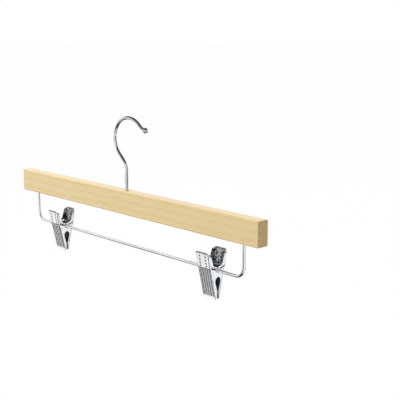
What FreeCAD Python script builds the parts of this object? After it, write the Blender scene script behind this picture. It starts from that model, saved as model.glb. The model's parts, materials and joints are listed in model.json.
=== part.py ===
import FreeCAD, Part
import math
import os

Vector = FreeCAD.Vector

# Sizes are in millimetres and angles in degrees.
# The working frame has X along the bar, Y to the back and Z up.
# Its zero is at the middle of the bar's underside.
# The finished pieces are moved so that zero is the seat inside the hook's top, where a rail carries it.

# Wooden bar
bar_length = 355.0
bar_height = 22.5
bar_thickness = 12.0
bar_top_round = 1.2
bar_bottom_round = 1.2
bar_end_round = 0.8

# Wire hook, from the bar's top to the tip
hook_wire = 3.2
hook_rise = 19.4
hook_bend_radius = 11.9
hook_bend_angle = 47.0
hook_lean_run = 9.4
hook_back_radius = 20.0
hook_back_angle = 116.9
hook_front_radius = 24.3
hook_front_angle = 62.5
hook_flare_radius = 13.6
hook_flare_angle = 38.0
hook_ball = 5.2

# Riveted foot of the hook on a washer, in a pocket under the bar
hook_bore_gap = 0.05
hook_head = 6.0
hook_head_height = 1.4
hook_end_play = 0.1
washer_diameter = 8.0
washer_thickness = 0.8
washer_bore_gap = 0.1
washer_pocket_gap = 0.2
head_sink = 1.0

# Trouser rod, a U of wire with its legs pressed into the bar
rod_wire = 2.8
leg_inset = 21.0
leg_depth = 12.0
leg_hole_gap = 0.05
rod_drop = 30.1
rod_corner_radius = 9.5

# Distance of each clip from the nearest leg of the rod
left_clip_inset = 43.5
right_clip_inset = 39.5

# Stamped jaw, measured from the pivot: heights go up from it and drops down
clip_width = 17.5
sheet = 0.6
ear_gap = 0.15
ear_wall = 0.8
tab_height = 17.0
lip_height = 2.0
lip_flare = 1.0
tab_splay = 1.8
tab_foot_height = 3.2
waist_step = 1.3
waist_height = 0.3
waist_gap = 4.92
jaw_drop = 25.8
sheet_bend = 4.0
edge_bend = 0.6
tab_corner_round = 3.5
tip_corner_round = 1.0

# Side flanges and the relief slit of a jaw
tab_flange_top = 2.2
tab_flange_shoulder = 3.4
tab_shoulder_drop = 5.0
tab_flange_foot = 4.0
strap_rise = 1.2
strap_end_height = 2.2
eye_half_width = 3.4
eye_crown_cover = 0.8
eye_crown_drop = 4.7
eye_top_drop = 7.3
eye_waist_drop = 10.5
eye_foot_drop = 18.2
eye_foot_half_gap = 1.1
tip_flange_cover = 0.3
flange_round = 3.0
crown_round = 0.6
eye_top_round = 2.4
eye_round = 6.0
slit_width = 1.3
slit_ring = 0.75

# Finger dimples on the tab
dimple_columns = 2
dimple_rows = 4
dimple_radius = 1.95
dimple_height = 0.6
dimple_column_share = 0.43

# Flutes on the lower jaw
flute_count = 5
flute_radius = 2.1
flute_height = 0.45
flute_rise = 0.3
flute_end = 3.5

# Eyelet that the rod runs through
tube_wall = 0.35
tube_bore_gap = 0.08
ear_hole_gap = 0.05
rim_reach = 0.45
rim_thickness = 0.5
rim_gap = 0.1

# Torsion spring round the eyelet
spring_wire = 1.0
spring_bore_gap = 0.6
coil_gap = 0.6
coil_turn_pairs = 3
leg_lean_angle = 30.0
leg_gap = 0.15

# Grip pads in the mouth
pad_height = 6.4
pad_tip = 1.5
pad_lift = 0.3
pad_gap = 0.3
pad_side_gap = 0.1
pad_round = 0.25

# Length by which cutting shapes run past what they cut, and the fineness of the sheet's inner faces
overrun = 3.0
sheet_tolerance_share = 0.001

# Sizes that follow from the ones above
hook_radius = hook_wire / 2
rod_radius = rod_wire / 2
tube_inner_radius = rod_radius + tube_bore_gap
tube_outer_radius = tube_inner_radius + tube_wall
rim_radius = tube_outer_radius + rim_reach
ear_hole_radius = tube_outer_radius + ear_hole_gap
ear_radius = ear_hole_radius + ear_wall
coil_radius = tube_outer_radius + spring_bore_gap + spring_wire / 2
coil_pitch = spring_wire + coil_gap
ear_step = sheet + ear_gap
jaw_width = clip_width - ear_step
waist_reach = ear_radius + waist_gap + sheet
tab_foot_reach = waist_reach + waist_step
lip_reach = tab_foot_reach + tab_splay
tab_reach = lip_reach + lip_flare
tip_reach = pad_gap / 2 + pad_tip + sheet
edge_round = sheet + edge_bend
leg_x = bar_length / 2 - leg_inset
pocket_radius = max(washer_diameter, hook_head) / 2 + washer_pocket_gap
pocket_depth = head_sink + hook_head_height + hook_end_play + washer_thickness


def flat_path(start, heading, moves):
    # A line of straight runs and bends in the XZ plane, and the centre of each bend
    edges = []
    centres = []
    place = start
    for radius, amount in moves:
        ahead = Vector(math.cos(heading), 0, math.sin(heading))
        if radius == 0:
            goal = place + ahead * amount
            edges.append(Part.LineSegment(place, goal).toShape())
        else:
            turn = math.radians(amount)
            side = math.copysign(radius, turn)
            centre = place + Vector(-math.sin(heading), 0, math.cos(heading)) * side
            middle = centre + Vector(math.sin(heading + turn / 2), 0, -math.cos(heading + turn / 2)) * side
            goal = centre + Vector(math.sin(heading + turn), 0, -math.cos(heading + turn)) * side
            edges.append(Part.Arc(place, middle, goal).toShape())
            centres.append(centre)
            heading += turn
        place = goal
    return edges, centres, place


def round_wire(edges, radius, start, ahead):
    # A round wire swept along a line of edges
    ring = Part.Wire(Part.Circle(start, ahead, radius).toShape())
    return Part.Wire(edges).makePipeShell([ring], True, False)


def slab(points, low_x, high_x):
    # A closed outline of (y, z) points drawn out along X
    corners = [Vector(low_x, y, z) for y, z in points]
    face = Part.Face(Part.makePolygon(corners + corners[:1]))
    return face.extrude(Vector(high_x - low_x, 0, 0))


def along_x(radius, low_x, high_x):
    # A round bar along X through the pivot
    return Part.makeCylinder(radius, high_x - low_x, Vector(low_x, 0, 0), Vector(1, 0, 0))


def softened(points, radii):
    # Edges of an open line with an arc at each inner corner
    edges = []
    place = points[0]
    for corner, after, radius in zip(points[1:-1], points[2:], radii):
        into = (corner - place).normalize()
        out = (after - corner).normalize()
        half = into.getAngle(out) / 2
        setback = radius * math.tan(half)
        rise = radius / math.cos(half) - radius
        first = corner - into * setback
        last = corner + out * setback
        middle = corner + (out - into).normalize() * rise
        edges.append(Part.LineSegment(place, first).toShape())
        edges.append(Part.Arc(first, middle, last).toShape())
        place = last
    edges.append(Part.LineSegment(place, points[-1]).toShape())
    return edges


# Wire hook

def hook_moves():
    return [
        (0, hook_rise),
        (hook_bend_radius, hook_bend_angle),
        (0, hook_lean_run),
        (hook_back_radius, -hook_back_angle),
        (hook_front_radius, -hook_front_angle),
        (hook_flare_radius, hook_flare_angle),
    ]


def hook_foot_height():
    # Height of the top of the riveted foot
    return pocket_depth - washer_thickness - hook_end_play


def swivel_hook():
    foot = Vector(0, 0, hook_foot_height())
    shank = bar_height - foot.z
    edges, centres, tip = flat_path(foot, math.radians(90), [(0, shank)] + hook_moves())
    wire = round_wire(edges, hook_radius, foot, Vector(0, 0, 1))
    ball = Part.makeSphere(hook_ball / 2, tip)
    head = Part.makeCylinder(hook_head / 2, hook_head_height, foot, Vector(0, 0, -1))
    head = head.makeFillet(hook_head_height / 2, [lowest_edge(head)])
    seat = centres[2] + Vector(0, 0, hook_front_radius - hook_radius)
    return wire.fuse([ball, head]).removeSplitter(), seat


def lowest_edge(solid):
    return min(solid.Edges, key=lambda edge: edge.CenterOfMass.z)


def hook_washer():
    base = Vector(0, 0, pocket_depth - washer_thickness)
    disc = Part.makeCylinder(washer_diameter / 2, washer_thickness, base)
    hole = Part.makeCylinder(hook_radius + washer_bore_gap, washer_thickness, base)
    return disc.cut(hole)


# Wooden bar

def wood_bar():
    half = bar_thickness / 2
    low_x = -bar_length / 2
    section = Part.makeBox(bar_length, bar_thickness, bar_height, Vector(low_x, -half, 0))
    long_edges = [edge for edge in section.Edges if abs(edge.Length - bar_length) < bar_end_round]
    top_edges = [edge for edge in long_edges if edge.CenterOfMass.z > half]
    block = section.makeFillet(bar_top_round, top_edges)
    long_edges = [edge for edge in block.Edges if abs(edge.Length - bar_length) < bar_end_round]
    bottom_edges = [edge for edge in long_edges if edge.BoundBox.ZMax < bar_bottom_round]
    block = block.makeFillet(bar_bottom_round, bottom_edges)
    end_edges = [edge for edge in block.Edges if edge.BoundBox.XLength < bar_end_round]
    block = block.makeFillet(bar_end_round, end_edges)
    bore = Part.makeCylinder(hook_radius + hook_bore_gap, bar_height + overrun)
    pocket = Part.makeCylinder(pocket_radius, pocket_depth + overrun, Vector(0, 0, -overrun))
    holes = [bore, pocket]
    for side in (-1, 1):
        mouth = Vector(side * leg_x, 0, -overrun)
        holes.append(Part.makeCylinder(rod_radius + leg_hole_gap, leg_depth + overrun, mouth))
    return block.cut(holes)


# Trouser rod

def trouser_rod():
    start = Vector(-leg_x, 0, leg_depth)
    leg_run = leg_depth + rod_drop - rod_corner_radius
    rod_run = 2 * (leg_x - rod_corner_radius)
    moves = [(0, leg_run), (rod_corner_radius, 90), (0, rod_run), (rod_corner_radius, 90), (0, leg_run)]
    edges = flat_path(start, math.radians(-90), moves)[0]
    return round_wire(edges, rod_radius, start, Vector(0, 0, -1))


# Stamped jaw, front one, with the pivot at zero

def face_line():
    # Corners of the jaw's outer face from the tab's lip to the tip
    return [
        Vector(0, -tab_reach, tab_height),
        Vector(0, -lip_reach, tab_height - lip_height),
        Vector(0, -tab_foot_reach, tab_foot_height),
        Vector(0, -waist_reach, waist_height),
        Vector(0, -tip_reach, -jaw_drop),
    ]


def lower_face():
    # The waist, the way down the lower face and the way out of it
    line = face_line()
    down = (line[4] - line[3]).normalize()
    out = Vector(0, down.z, -down.y)
    return line[3], down, out


def tab_face():
    # The tab's foot, the way up its face and the way out of it
    line = face_line()
    up = (line[1] - line[2]).normalize()
    out = Vector(0, -up.z, up.y)
    return line[2], up, out


def jaw_block():
    # The jaw as a full block with rounded front corners, open to the back later
    line = face_line()
    line[0] = line[0] + (line[0] - line[1]).normalize() * overrun
    line[4] = line[4] + (line[4] - line[3]).normalize() * overrun
    back = tab_reach + overrun
    edges = softened(line, [sheet_bend] * len(line[1:-1]))
    top_back = Vector(0, back, line[0].z)
    tip_back = Vector(0, back, line[4].z)
    for first, last in ((line[4], tip_back), (tip_back, top_back), (top_back, line[0])):
        edges.append(Part.LineSegment(first, last).toShape())
    low_x = clip_width / 2 - jaw_width
    face = Part.Face(Part.Wire(edges))
    face.translate(Vector(low_x, 0, 0))
    block = face.extrude(Vector(jaw_width, 0, 0))
    sides = [edge for edge in block.Edges if edge.BoundBox.XLength < sheet and edge.CenterOfMass.y < 0]
    return block.makeFillet(edge_round, sides)


def jaw_channel(block):
    # The block hollowed to a channel of sheet metal
    opened = [
        max(block.Faces, key=lambda face: face.CenterOfMass.y),
        max(block.Faces, key=lambda face: face.CenterOfMass.z),
        min(block.Faces, key=lambda face: face.CenterOfMass.z),
    ]
    return block.makeThickness(opened, -sheet, sheet * sheet_tolerance_share)


def jaw_middle_x():
    return (clip_width - jaw_width) / 2


def dimples(shrink):
    # Round finger dimples on the tab; with a shrink, the hollows behind them
    foot, up, out = tab_face()
    row_pitch = (tab_height - lip_height - tab_foot_height) / up.z / dimple_rows
    column_pitch = jaw_width * dimple_column_share
    domes = []
    for row in range(dimple_rows):
        for column in range(dimple_columns):
            across = (column - (dimple_columns - 1) / 2) * column_pitch
            centre = foot + up * ((row + 1 / 2) * row_pitch) + out * (dimple_height - dimple_radius)
            centre = centre + Vector(jaw_middle_x() + across, 0, 0)
            domes.append(Part.makeSphere(dimple_radius - shrink, centre))
    return domes


def flutes(shrink):
    # Upright round flutes on the lower jaw; with a shrink, the grooves behind them
    waist, down, out = lower_face()
    run = (jaw_drop + waist_height) / -down.z + flute_rise - flute_end
    pitch = (jaw_width - 2 * edge_round) / flute_count
    bars = []
    for index in range(flute_count):
        across = (index - (flute_count - 1) / 2) * pitch
        head = waist - down * flute_rise + out * (flute_height - flute_radius)
        head = head + Vector(jaw_middle_x() + across, 0, 0)
        bar = Part.makeCylinder(flute_radius - shrink, run, head, down)
        ends = [Part.makeSphere(flute_radius - shrink, end) for end in (head, head + down * run)]
        bars.append(bar.fuse(ends))
    return bars


def flange_keep():
    # Side view of what is kept: the face, its flanges and the round ears
    far = tab_reach + overrun
    high = tab_height + overrun
    low = jaw_drop + overrun
    tip = sheet + tip_flange_cover - tip_reach
    half = clip_width / 2 + overrun
    points = [
        (-tab_reach + tab_flange_top, high),
        (-lip_reach + tab_flange_top, tab_height - lip_height),
        (-lip_reach + tab_flange_shoulder, tab_height - tab_shoulder_drop),
        (-tab_foot_reach + tab_flange_foot, tab_foot_height + strap_rise),
        (eye_crown_cover, strap_end_height),
        (eye_crown_cover, -eye_crown_drop),
        (-eye_half_width, -eye_top_drop),
        (-eye_half_width, -eye_waist_drop),
        (-eye_foot_half_gap, -eye_foot_drop),
        (tip, -jaw_drop),
        (tip, -low),
    ]
    tab_rounds = [flange_round] * 4
    eye_rounds = [crown_round, eye_top_round] + [eye_round] * 3
    edges = softened([Vector(-half, y, z) for y, z in points], tab_rounds + eye_rounds)
    corners = [Vector(-half, y, z) for y, z in (points[-1], (-far, -low), (-far, high), points[0])]
    for first, last in zip(corners, corners[1:]):
        edges.append(Part.LineSegment(first, last).toShape())
    side_view = Part.Face(Part.Wire(edges)).extrude(Vector(2 * half, 0, 0))
    return side_view.fuse(along_x(ear_radius, -half, half))


def face_keep():
    # Front view of what is kept: a plate with rounded corners
    depth = 2 * (tab_reach + overrun)
    low = Vector(clip_width / 2 - jaw_width, -depth / 2, -jaw_drop)
    plate = Part.makeBox(jaw_width, depth, jaw_drop + tab_height, low)
    tops = [edge for edge in corner_edges(plate) if edge.CenterOfMass.z > 0]
    plate = plate.makeFillet(tab_corner_round, tops)
    tips = [edge for edge in corner_edges(plate) if edge.BoundBox.ZMax < sheet - jaw_drop]
    return plate.makeFillet(tip_corner_round, tips)


def corner_edges(plate):
    return [edge for edge in plate.Edges if edge.BoundBox.YLength > tab_reach]


def relief_slit():
    # A narrow cut in both flanges from the waist bend to the ear's ring
    aim = Vector(0, -(tab_foot_reach - edge_round), tab_foot_height)
    start = ear_hole_radius + slit_ring
    run = aim.Length - start
    half = clip_width / 2 + overrun
    cut = Part.makeBox(2 * half, run, slit_width, Vector(-half, -aim.Length, -slit_width / 2))
    cut.rotate(Vector(0, 0, 0), Vector(1, 0, 0), -math.degrees(math.atan2(aim.z, -aim.y)))
    return cut


def jaw():
    block = jaw_block()
    channel = jaw_channel(block)
    hollow = block.cut(channel)
    pressed = channel.fuse(dimples(0) + flutes(0))
    pressed = pressed.cut([hollow] + dimples(sheet) + flutes(sheet))
    half = clip_width / 2 + overrun
    hole = along_x(ear_hole_radius, -half, half)
    kept = pressed.common(flange_keep()).common(face_keep())
    solid = kept.cut([relief_slit(), hole]).removeSplitter()
    return max(solid.Solids, key=lambda piece: piece.Volume)


# Grip pad of the front jaw

def grip_pad():
    waist, down, out = lower_face()
    back = waist - out * sheet
    low = -(jaw_drop - pad_lift)
    high = low + pad_height
    points = []
    for height in (high, low):
        reach = back.y + down.y * (height - back.z) / down.z
        points.append((reach, height))
    points.append((-pad_gap / 2, low))
    points.append((-pad_gap / 2, high))
    half = clip_width / 2 - ear_step - edge_round - pad_side_gap
    pad = slab(points, -half, half)
    grip_edges = [edge for edge in pad.Edges if edge.BoundBox.YMin > -pad_gap]
    return pad.makeFillet(pad_round, grip_edges)


# Eyelet

def pivot_tube():
    inner = clip_width / 2 + rim_gap
    outer = inner + rim_thickness
    tube = along_x(tube_outer_radius, -outer, outer)
    rims = []
    for low_x, high_x in ((-outer, -inner), (inner, outer)):
        rims.append(along_x(rim_radius, low_x, high_x))
    body = tube.fuse(rims).removeSplitter()
    rounded = [edge for edge in body.Edges
               if edge.BoundBox.XLength < rim_gap and abs(edge.CenterOfMass.x) > outer - rim_gap]
    body = body.makeFillet(rim_thickness / 2, rounded)
    return body.cut(along_x(tube_inner_radius, -outer, outer))


# Torsion spring

def coil_turns():
    # Whole turns less what brings both legs up to the tabs
    return 2 * coil_turn_pairs - (90 + leg_lean_angle) / 180


def coil_point(share):
    # Point and direction on the coil, with the share from 0 at the front leg to 1 at the rear leg
    around = math.radians(180 + leg_lean_angle + 360 * coil_turns() * share)
    advance = coil_pitch / (2 * math.pi)
    x = coil_pitch * coil_turns() * (share - 1 / 2)
    point = Vector(x, coil_radius * math.cos(around), coil_radius * math.sin(around))
    ahead = Vector(advance, -coil_radius * math.sin(around), coil_radius * math.cos(around))
    return point, ahead.normalize()


def tangent_arc(start, corner, end):
    # The arc from start to end whose end directions meet at the corner
    middle = (start + end) * 0.5
    half = (end - start).Length / 2
    height = (corner - middle).Length
    radius = (corner - start).Length * half / height
    sag = radius - math.sqrt(radius * radius - half * half)
    return Part.Arc(start, middle + (corner - middle).normalize() * sag, end).toShape()


def biarc(first, ahead, last, onward):
    # Two arcs that leave the first point along one direction and reach the last along the other
    gap = last - first
    bend = 2 * (1 - ahead.dot(onward))
    pull = gap.dot(ahead + onward)
    reach = (math.sqrt(pull * pull + bend * gap.dot(gap)) - pull) / bend
    near = first + ahead * reach
    far = last - onward * reach
    joint = (near + far) * 0.5
    return [tangent_arc(first, near, joint), tangent_arc(joint, far, last)]


def leg_end(point, away):
    # Where a leg that leaves the coil stops, short of the front tab's inner face
    foot, up, out = tab_face()
    inside = out * -1
    standoff = sheet + spring_wire / 2 + leg_gap
    height = (point - foot).dot(inside) - standoff
    return point + away * (height / -away.dot(inside))


def spring_line():
    # The spring's line: front leg, coil in quarter turns, rear leg
    first, ahead = coil_point(0)
    tip = leg_end(first, ahead * -1)
    edges = [Part.LineSegment(tip, first).toShape()]
    quarters = math.ceil(4 * coil_turns())
    for index in range(quarters):
        start, begin = coil_point(index / quarters)
        end, onward = coil_point((index + 1) / quarters)
        edges.extend(biarc(start, begin, end, onward))
    last, onward = coil_point(1)
    rear_tip = Vector(-tip.x, -tip.y, tip.z)
    edges.append(Part.LineSegment(last, rear_tip).toShape())
    return edges, tip, ahead


def least_gap(edges):
    # Least gap of the wire to itself, between points more than half a turn apart along it
    points = []
    places = []
    travelled = 0
    step = spring_wire / 4
    for edge in edges:
        count = max(2, math.ceil(edge.Length / step))
        for index in range(count):
            at = edge.FirstParameter + (edge.LastParameter - edge.FirstParameter) * index / count
            points.append(edge.valueAt(at))
            places.append(travelled + edge.Length * index / count)
        travelled += edge.Length
    apart = math.pi * coil_radius
    spans = []
    for first, place in zip(points, places):
        for second, other in zip(points, places):
            if other - place > apart:
                spans.append((second - first).Length)
    return min(spans) - spring_wire


def torsion_spring():
    edges, tip, ahead = spring_line()
    print("spring: turns", round(coil_turns(), 2), "least gap to itself", round(least_gap(edges), 3))
    solid = round_wire(edges, spring_wire / 2, tip, ahead)
    length = sum(edge.Length for edge in edges)
    section = math.pi * spring_wire ** 2 / 4
    print("spring: volume", round(solid.Volume, 2), "section times length", round(section * length, 2))
    return solid


# Both clips, from one set of pieces

def clip_pieces():
    front = jaw()
    pad = grip_pad()
    pieces = {"front_jaw": front, "rear_jaw": turned(front), "front_pad": pad, "rear_pad": turned(pad)}
    pieces["pivot_tube"] = pivot_tube()
    pieces["spring"] = torsion_spring()
    return pieces


def turned(shape):
    # The same piece on the other side of the clip
    copy = shape.copy()
    copy.rotate(Vector(0, 0, 0), Vector(0, 0, 1), 180)
    return copy


def hanger():
    hook, seat = swivel_hook()
    nodes = {
        "wood_bar": wood_bar(),
        "swivel_hook": hook,
        "hook_washer": hook_washer(),
        "trouser_rod": trouser_rod(),
    }
    pieces = clip_pieces()
    for side, clip_x in (("left", left_clip_inset - leg_x), ("right", leg_x - right_clip_inset)):
        for name, piece in pieces.items():
            copy = piece.copy()
            copy.translate(Vector(clip_x, 0, -rod_drop))
            nodes[side + "_clip_" + name] = copy
    for shape in nodes.values():
        shape.translate(seat * -1)
    print("seat above the middle of the bar's underside", seat)
    return nodes


os.makedirs("parts", exist_ok=True)
for node, shape in hanger().items():
    shape.exportStep("parts/" + node + ".step")
    print(node, "solids", len(shape.Solids), "valid", shape.isValid(), "volume", round(shape.Volume, 1))
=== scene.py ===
import json
import math

import bmesh
import bpy
from mathutils import Matrix, Vector


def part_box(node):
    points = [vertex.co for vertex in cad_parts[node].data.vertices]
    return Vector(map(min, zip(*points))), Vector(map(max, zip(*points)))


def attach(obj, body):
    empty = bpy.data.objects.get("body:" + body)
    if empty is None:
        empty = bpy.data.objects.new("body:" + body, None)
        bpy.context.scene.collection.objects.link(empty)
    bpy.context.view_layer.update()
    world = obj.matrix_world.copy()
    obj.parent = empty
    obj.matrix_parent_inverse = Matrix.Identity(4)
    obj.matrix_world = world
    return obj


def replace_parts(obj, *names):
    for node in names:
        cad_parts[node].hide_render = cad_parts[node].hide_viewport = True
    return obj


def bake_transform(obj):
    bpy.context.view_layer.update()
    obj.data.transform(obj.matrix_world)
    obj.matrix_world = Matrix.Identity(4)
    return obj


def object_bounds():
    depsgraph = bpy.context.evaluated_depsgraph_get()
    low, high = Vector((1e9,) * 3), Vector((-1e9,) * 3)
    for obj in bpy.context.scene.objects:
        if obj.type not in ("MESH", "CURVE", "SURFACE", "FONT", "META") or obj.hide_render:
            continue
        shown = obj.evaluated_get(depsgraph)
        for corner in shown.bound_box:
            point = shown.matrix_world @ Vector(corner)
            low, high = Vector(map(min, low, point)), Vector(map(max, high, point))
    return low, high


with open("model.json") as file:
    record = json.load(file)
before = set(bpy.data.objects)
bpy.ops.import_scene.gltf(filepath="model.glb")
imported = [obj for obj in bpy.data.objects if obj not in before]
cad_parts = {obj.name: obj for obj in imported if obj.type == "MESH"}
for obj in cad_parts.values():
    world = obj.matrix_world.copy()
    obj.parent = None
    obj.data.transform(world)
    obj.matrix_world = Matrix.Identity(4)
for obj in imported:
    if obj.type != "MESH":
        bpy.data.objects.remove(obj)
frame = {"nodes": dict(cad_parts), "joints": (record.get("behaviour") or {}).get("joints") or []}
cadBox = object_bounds()
nodes = frame["nodes"]
jointAt = {joint["name"]: Vector(joint["pos_m"]) for joint in frame["joints"] if "pos_m" in joint}
mm = 0.001
mergeGap = 0.0005 * mm
print("frame loaded,", len(nodes), "nodes")


# shared tools

def toLinear(hexColour):
    channels = [int(hexColour[at:at + 2], 16) / 255 for at in (1, 3, 5)]
    linear = [c / 12.92 if c <= 0.04045 else ((c + 0.055) / 1.055) ** 2.4 for c in channels]
    return (*linear, 1.0)


def addNode(tree, kind, inputs=None, **settings):
    node = tree.nodes.new(kind)
    for name, value in settings.items():
        setattr(node, name, value)
    for socket, value in (inputs or {}).items():
        if isinstance(value, bpy.types.NodeSocket):
            tree.links.new(value, node.inputs[socket])
        else:
            node.inputs[socket].default_value = value
    return node


def startMaterial(name):
    material = bpy.data.materials.new(name)
    material.use_nodes = True
    material.node_tree.nodes.clear()
    return material, material.node_tree


def setRamp(ramp, stops):
    while len(ramp.color_ramp.elements) < len(stops):
        ramp.color_ramp.elements.new(1.0)
    for element, (position, hexColour) in zip(ramp.color_ramp.elements, stops):
        element.position = position
        element.color = toLinear(hexColour)


def dress(node, material):
    nodes[node].data.materials.clear()
    nodes[node].data.materials.append(material)


def finishPiece(bm, name, material, creaseAngle=35):
    bmesh.ops.remove_doubles(bm, verts=bm.verts, dist=mergeGap)
    bmesh.ops.recalc_face_normals(bm, faces=bm.faces)
    for face in bm.faces:
        face.smooth = True
    for edge in bm.edges:
        edge.smooth = edge.calc_face_angle(0) < math.radians(creaseAngle)
    mesh = bpy.data.meshes.new(name)
    bm.to_mesh(mesh)
    bm.free()
    mesh.materials.append(material)
    piece = bpy.data.objects.new(name, mesh)
    bpy.context.scene.collection.objects.link(piece)
    return piece


# round wire, bent in the XZ plane from a start ring

def ringEdges(made):
    return [item for item in made if isinstance(item, bmesh.types.BMEdge)]


def startRing(bm, radius, sides, centre, ahead):
    place = Matrix.Translation(centre) @ Vector(ahead).to_track_quat("Z", "Y").to_matrix().to_4x4()
    made = bmesh.ops.create_circle(bm, cap_ends=False, radius=radius, segments=sides, matrix=place)
    return list({edge for vert in made["verts"] for edge in vert.link_edges})


def runStraight(bm, ring, way):
    made = bmesh.ops.extrude_edge_only(bm, edges=ring)["geom"]
    fresh = [item for item in made if isinstance(item, bmesh.types.BMVert)]
    bmesh.ops.translate(bm, verts=fresh, vec=way)
    return [edge for edge in ringEdges(made) if all(vert in fresh for vert in edge.verts)]


def bendWire(bm, radius, sides, start, heading, moves, stepAngle):
    # a move is (0, length) for a straight run or (radius, degrees) for a bend
    place = Vector(start)
    ahead = Vector((math.cos(heading), 0, math.sin(heading)))
    ring = startRing(bm, radius, sides, place, ahead)
    for bendRadius, amount in moves:
        if bendRadius == 0:
            place = place + ahead * amount
            ring = runStraight(bm, ring, ahead * amount)
            continue
        turn = math.radians(amount)
        centre = place + Vector((-ahead.z, 0, ahead.x)) * math.copysign(bendRadius, turn)
        steps = max(2, math.ceil(abs(amount) / stepAngle))
        made = bmesh.ops.spin(bm, geom=ring, cent=centre, axis=(0, -1, 0), angle=turn, steps=steps)
        ring = ringEdges(made["geom_last"])
        swing = Matrix.Rotation(turn, 3, (0, -1, 0))
        place = centre + swing @ (place - centre)
        ahead = swing @ ahead
    bmesh.ops.holes_fill(bm, edges=bm.edges, sides=0)
    return place


# wooden bar, sizes in mm

woodLook = {
    "early": "#DCC58D", "late": "#D7BE84", "vein": "#CEB276", "end": "#F4F0DC",
    "ringSpacing": 5.5, "pith": (0.0, 46.0, 128.0), "wander": 5.0, "wanderLength": 150.0, "wanderWidth": 26.0,
    "fibreWidth": 0.5, "fibreLength": 26.0, "fibreShare": 0.24,
    "poreWidth": 0.45, "poreLength": 7.0, "poreShare": 0.3,
    "reliefDepth": 0.03, "roughness": (0.36, 0.52), "lacquer": 0.7, "lacquerRoughness": 0.24,
}


def grainScale(length, width):
    return (1 / length, 1 / width, 1 / width)


def sandedWood():
    # pale hardwood strip, planed, sanded and sealed with clear satin lacquer: soft streaks along the bar
    look = woodLook
    material, tree = startMaterial("pale wood, sanded and lacquered")
    coordinates = addNode(tree, "ShaderNodeTexCoord")
    inMm = addNode(tree, "ShaderNodeMapping", {
        "Vector": coordinates.outputs["Object"], "Scale": (1 / mm,) * 3, "Location": look["pith"]})
    flow = addNode(tree, "ShaderNodeMapping", {
        "Vector": inMm.outputs[0], "Scale": grainScale(look["wanderLength"], look["wanderWidth"])})
    drift = addNode(tree, "ShaderNodeTexNoise", {"Vector": flow.outputs[0], "Scale": 1.0, "Detail": 2.0})
    centred = addNode(tree, "ShaderNodeVectorMath", {
        0: drift.outputs["Color"], 1: (0.5, 0.5, 0.5)}, operation="SUBTRACT")
    pushed = addNode(tree, "ShaderNodeVectorMath", {
        0: centred.outputs[0], 1: (look["wander"],) * 3, 2: inMm.outputs[0]}, operation="MULTIPLY_ADD")
    rings = addNode(tree, "ShaderNodeTexWave", {
        "Vector": pushed.outputs[0], "Scale": math.pi / 10 / look["ringSpacing"],  # one wave is pi / 10 long
        "Distortion": 0.6, "Detail": 2.0, "Detail Scale": 0.4,
    }, wave_type="RINGS", rings_direction="X", wave_profile="SAW")
    ringTone = addNode(tree, "ShaderNodeValToRGB", {"Fac": rings.outputs["Fac"]})
    setRamp(ringTone, [
        (0.0, look["early"]), (0.55, look["early"]), (0.88, look["late"]), (1.0, look["early"])])
    along = addNode(tree, "ShaderNodeMapping", {
        "Vector": pushed.outputs[0], "Scale": grainScale(look["fibreLength"], look["fibreWidth"])})
    fibres = addNode(tree, "ShaderNodeTexNoise", {"Vector": along.outputs[0], "Scale": 1.0, "Detail": 3.0})
    fibreTone = addNode(tree, "ShaderNodeMapRange", {
        "Value": fibres.outputs["Fac"], "From Min": 0.3, "From Max": 0.7,
        "To Min": 0.0, "To Max": look["fibreShare"]})
    streaked = addNode(tree, "ShaderNodeMix", {
        0: fibreTone.outputs[0], 6: ringTone.outputs["Color"], 7: toLinear(look["vein"])}, data_type="RGBA")
    dashes = addNode(tree, "ShaderNodeMapping", {
        "Vector": pushed.outputs[0], "Scale": grainScale(look["poreLength"], look["poreWidth"])})
    pores = addNode(tree, "ShaderNodeTexNoise", {"Vector": dashes.outputs[0], "Scale": 1.0, "Detail": 1.0})
    poreMask = addNode(tree, "ShaderNodeMapRange", {
        "Value": pores.outputs["Fac"], "From Min": 0.64, "From Max": 0.74,
        "To Min": 0.0, "To Max": look["poreShare"]})
    pored = addNode(tree, "ShaderNodeMix", {
        0: poreMask.outputs[0], 6: streaked.outputs[2], 7: toLinear(look["vein"]),
    }, data_type="RGBA", blend_type="MULTIPLY")
    # the sawn ends are darker: end grain drinks more lacquer, and painted shade is added on top to darken
    # them further
    facing = addNode(tree, "ShaderNodeSeparateXYZ", {0: coordinates.outputs["Normal"]})
    endFace = addNode(tree, "ShaderNodeMath", {0: facing.outputs["X"]}, operation="ABSOLUTE")
    endMask = addNode(tree, "ShaderNodeMapRange", {
        "Value": endFace.outputs[0], "From Min": 0.6, "From Max": 0.95})
    shaded = addNode(tree, "ShaderNodeMix", {
        0: endMask.outputs[0], 6: pored.outputs[2], 7: toLinear(look["end"]),
    }, data_type="RGBA", blend_type="MULTIPLY")
    gloss = addNode(tree, "ShaderNodeMapRange", {
        "Value": fibres.outputs["Fac"], "To Min": look["roughness"][0], "To Max": look["roughness"][1]})
    relief = addNode(tree, "ShaderNodeBump", {
        "Height": fibres.outputs["Fac"], "Strength": 0.25, "Distance": look["reliefDepth"] * mm})
    shader = addNode(tree, "ShaderNodeBsdfPrincipled", {
        "Base Color": shaded.outputs[2], "Roughness": gloss.outputs[0], "Normal": relief.outputs[0],
        "IOR": 1.5, "Coat Weight": look["lacquer"], "Coat Roughness": look["lacquerRoughness"]})
    addNode(tree, "ShaderNodeOutputMaterial", {"Surface": shader.outputs[0]})
    return material


dress("wood_bar", sandedWood())
print("bar dressed")


# plated and drawn steel of the hook, rod, springs and washer, sizes in mm

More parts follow.
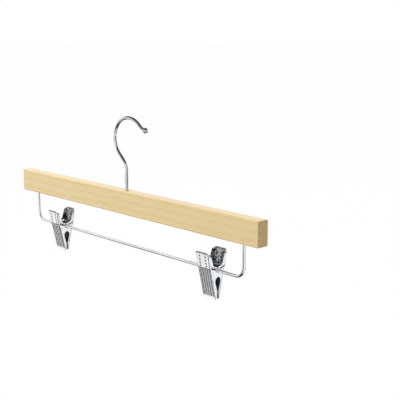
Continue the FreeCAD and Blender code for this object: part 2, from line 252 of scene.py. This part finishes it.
wireLooks = {
    "hook": {"name": "hook wire, bright chrome", "bright": "#D8DADD", "dull": "#C6C8CC",
             "roughness": (0.05, 0.14), "clouds": 7.0},
    "rod": {"name": "rod wire, satin chrome", "bright": "#EDEEEF", "dull": "#DEE0E2",
            "roughness": (0.09, 0.16), "clouds": 7.0},
    "spring": {"name": "spring wire, drawn and oiled", "bright": "#7E7F82", "dull": "#5C5D60",
               "roughness": (0.24, 0.38), "clouds": 7.0},
    "washer": {"name": "washer steel, zinc plated", "bright": "#A8AAAD", "dull": "#8C8E92",
               "roughness": (0.3, 0.42), "clouds": 7.0},
}


def platedSteel(look):
    # drawn steel under chrome, zinc or oil: a clear or dull mirror with faint cloudy handling marks
    material, tree = startMaterial(look["name"])
    place = addNode(tree, "ShaderNodeTexCoord").outputs["Object"]
    clouds = addNode(tree, "ShaderNodeTexNoise", {
        "Vector": place, "Scale": 1 / (look["clouds"] * mm), "Detail": 3.0})
    tone = addNode(tree, "ShaderNodeValToRGB", {"Fac": clouds.outputs["Fac"]})
    setRamp(tone, [(0.35, look["bright"]), (0.7, look["dull"])])
    gloss = addNode(tree, "ShaderNodeMapRange", {
        "Value": clouds.outputs["Fac"], "From Min": 0.3, "From Max": 0.7,
        "To Min": look["roughness"][0], "To Max": look["roughness"][1]})
    shader = addNode(tree, "ShaderNodeBsdfPrincipled", {
        "Base Color": tone.outputs["Color"], "Roughness": gloss.outputs[0], "Metallic": 1.0})
    addNode(tree, "ShaderNodeOutputMaterial", {"Surface": shader.outputs[0]})
    return material


steels = {piece: platedSteel(look) for piece, look in wireLooks.items()}
dress("hook_washer", steels["washer"])
print("steel made")


# swivel hook, sizes in mm and degrees

hookSizes = {
    "wire": 3.2, "rise": 19.4, "bendRadius": 11.9, "bendAngle": 47.0, "leanRun": 9.4,
    "backRadius": 20.0, "backAngle": 116.9, "frontRadius": 24.3, "frontAngle": 62.5,
    "flareRadius": 13.6, "flareAngle": 38.0, "ball": 5.2,
    "head": 6.0, "headHeight": 1.4, "headSink": 1.0, "headRound": 0.7, "headSides": 48, "headSteps": 5,
    "sides": 40, "stepAngle": 3.0,
}


def makeHook():
    sizes = {name: value * mm for name, value in hookSizes.items()}
    sides = hookSizes["sides"]
    barLow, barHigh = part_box("wood_bar")
    axis = jointAt["hook_swivel"]
    foot = Vector((axis.x, axis.y, barLow.z + sizes["headSink"] + sizes["headHeight"]))
    moves = [
        (0, barHigh.z - foot.z + sizes["rise"]),
        (sizes["bendRadius"], hookSizes["bendAngle"]),
        (0, sizes["leanRun"]),
        (sizes["backRadius"], -hookSizes["backAngle"]),
        (sizes["frontRadius"], -hookSizes["frontAngle"]),
        (sizes["flareRadius"], hookSizes["flareAngle"]),
    ]
    bm = bmesh.new()
    tip = bendWire(bm, sizes["wire"] / 2, sides, foot, math.radians(90), moves, hookSizes["stepAngle"])
    bmesh.ops.create_uvsphere(bm, u_segments=sides, v_segments=sides // 2, radius=sizes["ball"] / 2,
                              matrix=Matrix.Translation(tip))
    middle = foot - Vector((0, 0, sizes["headHeight"] / 2))
    head = bmesh.ops.create_cone(bm, cap_ends=True, segments=hookSizes["headSides"],
                                 radius1=sizes["head"] / 2, radius2=sizes["head"] / 2,
                                 depth=sizes["headHeight"], matrix=Matrix.Translation(middle))
    edges = {edge for vert in head["verts"] for edge in vert.link_edges}
    rim = [edge for edge in edges if all(vert.co.z < middle.z for vert in edge.verts)]
    bmesh.ops.bevel(bm, geom=rim, offset=sizes["headRound"], offset_type="OFFSET", affect="EDGES",
                    segments=hookSizes["headSteps"], profile=0.5, material=-1)
    hook = finishPiece(bm, "hookWire", steels["hook"])
    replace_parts(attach(hook, "hook"), "swivel_hook")


makeHook()
print("hook made")


# trouser rod, sizes in mm and degrees

rodSizes = {"wire": 2.8, "corner": 9.5, "sides": 32, "stepAngle": 5.0}


def makeRod():
    radius = rodSizes["wire"] / 2 * mm
    corner = rodSizes["corner"] * mm
    low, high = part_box("trouser_rod")
    legRun = high.z - low.z - radius - corner
    rodRun = high.x - low.x - 2 * (radius + corner)
    moves = [(0, legRun), (corner, 90), (0, rodRun), (corner, 90), (0, legRun)]
    start = Vector((low.x + radius, (low.y + high.y) / 2, high.z))
    bm = bmesh.new()
    bendWire(bm, radius, rodSizes["sides"], start, math.radians(-90), moves, rodSizes["stepAngle"])
    rod = finishPiece(bm, "rodWire", steels["rod"])
    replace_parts(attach(rod, "bar"), "trouser_rod")


makeRod()
print("rod made")


# clip sheet and eyelets, sizes in mm

sheetLook = {
    "bright": "#F4F5F6", "dull": "#E6E8EA", "inside": "#C4C6C9", "insideShadeDark": "#262728",
    "throatShade": "#4C4D50", "throatShadeLimits": (-2.0, 3.0),  # painted shade in the throat of the clip, darker below its pivot, by height from the pivot
    "edge": "#8E9093", "clouds": 4.0, "shadeMottleSize": 1.6, "turnover": 0.3, "peel": 0.6, "peelDepth": 0.004,
    "roughness": (0.32, 0.1),
}


def chromedSheet(name, pivot):
    # pressed steel strip, barrel chromed: bright outside; on the inside of the channel the plating is rougher
    # and the colour is painted shade, mottled as painted reflection
    look = sheetLook
    material, tree = startMaterial(name)
    coordinates = addNode(tree, "ShaderNodeTexCoord")
    place = coordinates.outputs["Object"]
    normal = coordinates.outputs["Normal"]
    fromAxis = addNode(tree, "ShaderNodeMapping", {
        "Vector": place, "Location": (-pivot.x, -pivot.y, 0), "Scale": (1, 1, 0)})
    outward = addNode(tree, "ShaderNodeVectorMath", {
        0: fromAxis.outputs[0], 1: normal}, operation="DOT_PRODUCT")
    outside = addNode(tree, "ShaderNodeMapRange", {
        "Value": outward.outputs["Value"],
        "From Min": -look["turnover"] * mm, "From Max": look["turnover"] * mm})
    clouds = addNode(tree, "ShaderNodeTexNoise", {
        "Vector": place, "Scale": 1 / (look["clouds"] * mm), "Detail": 3.0})
    bright = addNode(tree, "ShaderNodeValToRGB", {"Fac": clouds.outputs["Fac"]})
    setRamp(bright, [(0.35, look["bright"]), (0.7, look["dull"])])
    # painted shade and painted reflection: the inside of the channel is mottled between near black and light
    # grey
    shadeMottleNoise = addNode(tree, "ShaderNodeTexNoise", {
        "Vector": place, "Scale": 1 / (look["shadeMottleSize"] * mm), "Detail": 2.0})
    paintedInsideShade = addNode(tree, "ShaderNodeValToRGB", {"Fac": shadeMottleNoise.outputs["Fac"]})
    setRamp(paintedInsideShade, [(0.38, look["insideShadeDark"]), (0.62, look["inside"])])
    # painted shade: from just above the pivot downwards the inside of the channel turns to the throat's dark
    # tone
    height = addNode(tree, "ShaderNodeSeparateXYZ", {0: place})
    shadeLow, shadeHigh = (pivot.z + limit * mm for limit in look["throatShadeLimits"])
    above = addNode(tree, "ShaderNodeMapRange", {
        "Value": height.outputs["Z"], "From Min": shadeLow, "From Max": shadeHigh})
    dark = addNode(tree, "ShaderNodeMix", {
        0: above.outputs[0], 6: toLinear(look["throatShade"]), 7: paintedInsideShade.outputs["Color"]}, data_type="RGBA")
    faces = addNode(tree, "ShaderNodeMix", {
        0: outside.outputs[0], 6: dark.outputs[2], 7: bright.outputs["Color"]}, data_type="RGBA")
    # painted shade in grey on the faces turned up or down, at the top and the foot of the sheet
    facing = addNode(tree, "ShaderNodeSeparateXYZ", {0: normal})
    upright = addNode(tree, "ShaderNodeMath", {0: facing.outputs["Z"]}, operation="ABSOLUTE")
    edgeShadeMask = addNode(tree, "ShaderNodeMapRange", {
        "Value": upright.outputs[0], "From Min": 0.75, "From Max": 0.9})
    tone = addNode(tree, "ShaderNodeMix", {
        0: edgeShadeMask.outputs[0], 6: faces.outputs[2], 7: toLinear(look["edge"])}, data_type="RGBA")
    gloss = addNode(tree, "ShaderNodeMapRange", {
        "Value": outside.outputs[0], "To Min": look["roughness"][0], "To Max": look["roughness"][1]})
    peel = addNode(tree, "ShaderNodeTexNoise", {
        "Vector": place, "Scale": 1 / (look["peel"] * mm), "Detail": 2.0})
    relief = addNode(tree, "ShaderNodeBump", {
        "Height": peel.outputs["Fac"], "Strength": 0.2, "Distance": look["peelDepth"] * mm})
    shader = addNode(tree, "ShaderNodeBsdfPrincipled", {
        "Base Color": tone.outputs[2], "Roughness": gloss.outputs[0], "Metallic": 1.0,
        "Normal": relief.outputs[0]})
    addNode(tree, "ShaderNodeOutputMaterial", {"Surface": shader.outputs[0]})
    return material


# the barrel tones are painted shade for the part of the eyelet hidden between the ears
eyeletLook = {
    "barrelShadeDark": "#2C2D2F", "barrel": "#424346", "rim": "#D4D6D9", "rimLimits": (8.3, 8.7), "clouds": 2.0,
    "roughness": (0.45, 0.14),
}


def rolledEyelet(name, pivot):
    # rolled steel eyelet: chrome on the two rims; the barrel between the ears is rougher and painted dark, as
    # painted shade
    look = eyeletLook
    material, tree = startMaterial(name)
    place = addNode(tree, "ShaderNodeTexCoord").outputs["Object"]
    along = addNode(tree, "ShaderNodeSeparateXYZ", {0: place})
    offset = addNode(tree, "ShaderNodeMath", {0: along.outputs["X"], 1: pivot.x}, operation="SUBTRACT")
    distance = addNode(tree, "ShaderNodeMath", {0: offset.outputs[0]}, operation="ABSOLUTE")
    rim = addNode(tree, "ShaderNodeMapRange", {
        "Value": distance.outputs[0],
        "From Min": look["rimLimits"][0] * mm, "From Max": look["rimLimits"][1] * mm})
    clouds = addNode(tree, "ShaderNodeTexNoise", {
        "Vector": place, "Scale": 1 / (look["clouds"] * mm), "Detail": 2.0})
    barrel = addNode(tree, "ShaderNodeValToRGB", {"Fac": clouds.outputs["Fac"]})
    setRamp(barrel, [(0.35, look["barrelShadeDark"]), (0.65, look["barrel"])])
    tone = addNode(tree, "ShaderNodeMix", {
        0: rim.outputs[0], 6: barrel.outputs["Color"], 7: toLinear(look["rim"])}, data_type="RGBA")
    gloss = addNode(tree, "ShaderNodeMapRange", {
        "Value": rim.outputs[0], "To Min": look["roughness"][0], "To Max": look["roughness"][1]})
    shader = addNode(tree, "ShaderNodeBsdfPrincipled", {
        "Base Color": tone.outputs[2], "Roughness": gloss.outputs[0], "Metallic": 1.0})
    addNode(tree, "ShaderNodeOutputMaterial", {"Surface": shader.outputs[0]})
    return material


# torsion springs: a front leg, a coil round the eyelet and a rear leg, sizes in mm and degrees

springSizes = {
    "wire": 1.0, "coilRadius": 2.93, "pitch": 1.6, "turns": 16 / 3, "legLean": 30.0, "legRun": 13.6,
    "sides": 16, "stepAngle": 10.0,
}


def makeSpring(side):
    pivot = jointAt[side + "_clip_swing"]
    wire = springSizes["wire"] * mm
    coilRadius = springSizes["coilRadius"] * mm
    pitch = springSizes["pitch"] * mm
    halfLength = pitch * springSizes["turns"] / 2
    legRun = springSizes["legRun"] * mm
    angle = math.radians(360 * springSizes["turns"])
    steps = round(360 * springSizes["turns"] / springSizes["stepAngle"])
    around = math.radians(180 + springSizes["legLean"])
    across = coilRadius * math.cos(around)
    upward = coilRadius * math.sin(around)
    first = pivot + Vector((-halfLength, across, upward))
    ahead = Vector((pitch / (2 * math.pi), -upward, across)).normalized()
    bm = bmesh.new()
    ring = startRing(bm, wire / 2, springSizes["sides"], first - ahead * legRun, ahead)
    ring = runStraight(bm, ring, ahead * legRun)
    made = bmesh.ops.spin(bm, geom=ring, cent=pivot, axis=(1, 0, 0), angle=angle, steps=steps,
                          dvec=(2 * halfLength / steps, 0, 0))
    ring = ringEdges(made["geom_last"])
    runStraight(bm, ring, Matrix.Rotation(angle, 3, "X") @ ahead * legRun)
    bmesh.ops.holes_fill(bm, edges=bm.edges, sides=0)
    spring = finishPiece(bm, side + "Spring", steels["spring"])
    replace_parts(spring, side + "_clip_spring")
    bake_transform(spring)


# grip pads: a moulded wedge with cross ribs on the face that holds the cloth, sizes in mm and degrees

vinylLook = {"dark": "#8E9092", "light": "#A4A6A8", "grit": 0.3, "reliefDepth": 0.02, "roughness": 0.62}
padSizes = {"backTilt": 12.84, "ribs": 6, "grooveDepth": 0.35, "edge": 0.18}


def softVinyl():
    # moulded soft vinyl: matt, with a fine sparked texture from the mould
    look = vinylLook
    material, tree = startMaterial("soft vinyl, moulded")
    place = addNode(tree, "ShaderNodeTexCoord").outputs["Object"]
    grit = addNode(tree, "ShaderNodeTexNoise", {
        "Vector": place, "Scale": 1 / (look["grit"] * mm), "Detail": 2.0})
    tone = addNode(tree, "ShaderNodeValToRGB", {"Fac": grit.outputs["Fac"]})
    setRamp(tone, [(0.3, look["dark"]), (0.7, look["light"])])
    relief = addNode(tree, "ShaderNodeBump", {
        "Height": grit.outputs["Fac"], "Strength": 0.3, "Distance": look["reliefDepth"] * mm})
    shader = addNode(tree, "ShaderNodeBsdfPrincipled", {
        "Base Color": tone.outputs["Color"], "Roughness": look["roughness"], "IOR": 1.53,
        "Normal": relief.outputs[0]})
    addNode(tree, "ShaderNodeOutputMaterial", {"Surface": shader.outputs[0]})
    return material


def makePad(side, jaw, vinyl):
    low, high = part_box(side + "_clip_" + jaw + "_pad")
    middle = (low + high) / 2
    size = high - low
    towards = 1 if jaw == "front" else -1  # way from the jaw's sheet to the cloth
    bm = bmesh.new()
    bmesh.ops.create_cube(bm, size=1.0, matrix=Matrix.Translation(middle) @ Matrix.Diagonal((*size, 1)))
    back = min(bm.faces, key=lambda face: face.normal.y * towards)
    lower = [vert for vert in back.verts if vert.co.z < middle.z]
    slip = math.tan(math.radians(padSizes["backTilt"])) * size.z
    bmesh.ops.translate(bm, verts=lower, vec=(0, slip * towards, 0))
    grip = max(bm.faces, key=lambda face: face.normal.y * towards)
    uprights = [edge for edge in grip.edges if abs(edge.verts[0].co.z - edge.verts[1].co.z) > size.z / 2]
    bmesh.ops.subdivide_edges(bm, edges=uprights, cuts=2 * padSizes["ribs"], use_grid_fill=True)
    strips = [face for face in bm.faces if face.normal.y * towards > 0.9]
    strips.sort(key=lambda face: face.calc_center_median().z)
    grooves = bmesh.ops.extrude_discrete_faces(bm, faces=strips[1::2])["faces"]
    for face in grooves:
        bmesh.ops.translate(bm, verts=face.verts, vec=(0, -padSizes["grooveDepth"] * mm * towards, 0))
    pad = finishPiece(bm, side + jaw.capitalize() + "Pad", vinyl, creaseAngle=30)
    soften = pad.modifiers.new("mouldRound", "BEVEL")
    soften.width = padSizes["edge"] / 2 * mm
    soften.segments = 2
    soften.limit_method = "ANGLE"
    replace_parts(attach(pad, side + "_clip_" + jaw), side + "_clip_" + jaw + "_pad")


padVinyl = softVinyl()
for side in ("left", "right"):
    pivot = jointAt[side + "_clip_swing"]
    sheet = chromedSheet("clip sheet, chromed, " + side, pivot)
    for jaw in ("front", "rear"):
        dress(side + "_clip_" + jaw + "_jaw", sheet)
        makePad(side, jaw, padVinyl)
    dress(side + "_clip_pivot_tube", rolledEyelet("eyelet, rolled steel, " + side, pivot))
    makeSpring(side)
print("clips made,", len(bpy.data.materials), "materials so far")


# studio: floor, soft lamps, white surroundings, felt cards and the camera, sizes in mm and degrees

studio = {
    "floorDrop": 350.0, "floorSize": 60000.0, "floor": "#F6F6F6", "floorWhite": 0.98, "skyLight": 0.45,
    "lamps": {
        "key": {"from": (-420, -1150, 1850), "size": 1400, "power": 46.0},
        "back": {"from": (-500, 1500, 1300), "size": 1000, "power": 11.0},
    },
    "felts": {
        "black": ("#363636", "#3E3E3E"), "slate": ("#5A5A5A", "#646464"), "grey": ("#7A7A7A", "#848484"),
    },
    "nap": 30.0, "cardSteps": 24, "cardHeight": -480,
    "floorCards": [  # felt, azimuths from the front towards the right, near and far reach
        ("black", (-160, -84), (640, 1500)),
        ("black", (-160, -67), (360, 640)),
        ("grey", (-84, -72), (640, 740)),
        ("black", (-70, -56), (480, 720)),
        ("black", (-70, -58), (380, 480)),
        ("black", (-60, -50), (640, 740)),
        ("black", (-58, -24), (730, 850)),
        ("black", (-50, -24), (850, 1150)),
        ("black", (-40, -24), (540, 730)),
        ("black", (-24, 30), (340, 1500)),
        ("black", (122, 156), (730, 850)),
        ("black", (130, 156), (850, 1150)),
        ("black", (140, 156), (540, 730)),
        ("black", (156, 210), (340, 1500)),
        ("grey", (-80, -56), (270, 350)),
        ("black", (-56, 280), (270, 340)),
        ("black", (-180, 180), (185, 270)),
        ("black", (-5, 310), (95, 185)),
        ("black", (-180, 180), (20, 95)),
    ],
    "raisedCards": [  # felt, azimuths, then reach and height of the first and of the last edge
        ("grey", (66, 140), (1700, -480), (1700, 900)),
        ("black", (-47, 12), (1700, 480), (1700, 2400)),
        ("slate", (-180, 180), (5, 55), (130, 55)),
    ],
    "camera": {"at": (626.61, -486.62, 81.14), "azimuth": 47.356, "elevation": 11.277, "lens": 76.37},
}


def whereSeen(tree):
    # 1 for rays from the eye, off metal and through glass, which all meet white; 0 for light on the object
    path = addNode(tree, "ShaderNodeLightPath")
    mirrored = addNode(tree, "ShaderNodeMath", {
        0: path.outputs["Is Camera Ray"], 1: path.outputs["Is Glossy Ray"]}, operation="MAXIMUM")
    through = addNode(tree, "ShaderNodeMath", {
        0: mirrored.outputs[0], 1: path.outputs["Is Transmission Ray"]}, operation="MAXIMUM")
    return through.outputs[0]


def paleFloor():
    # seamless paper: reads as white to the eye, keeps a soft shadow
    material, tree = startMaterial("studio paper")
    share = addNode(tree, "ShaderNodeMath", {
        0: whereSeen(tree), 1: studio["floorWhite"]}, operation="MULTIPLY")
    paper = addNode(tree, "ShaderNodeBsdfDiffuse", {"Color": toLinear(studio["floor"])})
    white = addNode(tree, "ShaderNodeEmission", {"Color": (1, 1, 1, 1), "Strength": 1.0})
    mixed = addNode(tree, "ShaderNodeMixShader", {
        0: share.outputs[0], 1: paper.outputs[0], 2: white.outputs[0]})
    addNode(tree, "ShaderNodeOutputMaterial", {"Surface": mixed.outputs[0]})
    return material


def makeFloor():
    bm = bmesh.new()
    height = cadBox[0].z - studio["floorDrop"] * mm
    bmesh.ops.create_grid(bm, x_segments=1, y_segments=1, size=studio["floorSize"] / 2 * mm,
                          matrix=Matrix.Translation((0, 0, height)))
    finishPiece(bm, "floor", paleFloor())


def makeWorld():
    world = bpy.data.worlds.new("studioWhite")
    world.use_nodes = True
    tree = world.node_tree
    tree.nodes.clear()
    strength = addNode(tree, "ShaderNodeMapRange", {
        "Value": whereSeen(tree), "To Min": studio["skyLight"], "To Max": 1.0})
    sky = addNode(tree, "ShaderNodeBackground", {"Color": (1, 1, 1, 1), "Strength": strength.outputs[0]})
    addNode(tree, "ShaderNodeOutputWorld", {"Surface": sky.outputs[0]})
    bpy.context.scene.world = world


def studioFelt(name):
    # felt on a card: gives the chrome something dark to mirror
    dark, light = studio["felts"][name]
    material, tree = startMaterial("studio felt, " + name)
    place = addNode(tree, "ShaderNodeTexCoord").outputs["Object"]
    nap = addNode(tree, "ShaderNodeTexNoise", {"Vector": place, "Scale": 1 / (studio["nap"] * mm)})
    tone = addNode(tree, "ShaderNodeValToRGB", {"Fac": nap.outputs["Fac"]})
    setRamp(tone, [(0.3, dark), (0.7, light)])
    cloth = addNode(tree, "ShaderNodeBsdfDiffuse", {"Color": tone.outputs["Color"]})
    addNode(tree, "ShaderNodeOutputMaterial", {"Surface": cloth.outputs[0]})
    return material


def addCard(cloth, azimuths, foot, top):
    first, last = (math.radians(azimuth) for azimuth in azimuths)
    bm = bmesh.new()
    ends = []
    for reach, height in (foot, top):
        ends.append(bm.verts.new(Vector((math.sin(first) * reach, -math.cos(first) * reach, height)) * mm))
    edge = bm.edges.new(ends)
    bmesh.ops.spin(bm, geom=ends + [edge], cent=(0, 0, 0), axis=(0, 0, 1), angle=last - first,
                   steps=studio["cardSteps"])
    card = finishPiece(bm, "flag", cloth)
    card.visible_camera = False
    card.visible_diffuse = False
    card.visible_shadow = False


def addLamp(name):
    sizes = studio["lamps"][name]
    lamp = bpy.data.lights.new(name + "Lamp", "AREA")
    lamp.energy = sizes["power"]
    lamp.size = sizes["size"] * mm
    holder = bpy.data.objects.new(name + "Lamp", lamp)
    holder.location = Vector(sizes["from"]) * mm
    holder.visible_glossy = False
    target = (cadBox[0] + cadBox[1]) / 2
    holder.rotation_euler = (target - holder.location).to_track_quat("-Z", "Y").to_euler()
    bpy.context.scene.collection.objects.link(holder)


def addCamera():
    sizes = studio["camera"]
    lens = bpy.data.cameras.new("camera")
    lens.lens = sizes["lens"]
    lens.sensor_width = 36
    lens.clip_start = 0.01
    camera = bpy.data.objects.new("camera", lens)
    camera.location = Vector(sizes["at"]) * mm
    camera.rotation_euler = (math.radians(90 - sizes["elevation"]), 0, math.radians(sizes["azimuth"]))
    bpy.context.scene.collection.objects.link(camera)
    bpy.context.scene.camera = camera


makeFloor()
makeWorld()
felts = {name: studioFelt(name) for name in studio["felts"]}
for felt, azimuths, (near, far) in studio["floorCards"]:
    addCard(felts[felt], azimuths, (near, studio["cardHeight"]), (far, studio["cardHeight"]))
for felt, azimuths, foot, top in studio["raisedCards"]:
    addCard(felts[felt], azimuths, foot, top)
for name in studio["lamps"]:
    addLamp(name)
addCamera()
bpy.context.scene.view_settings.view_transform = "Standard"
print("studio made")
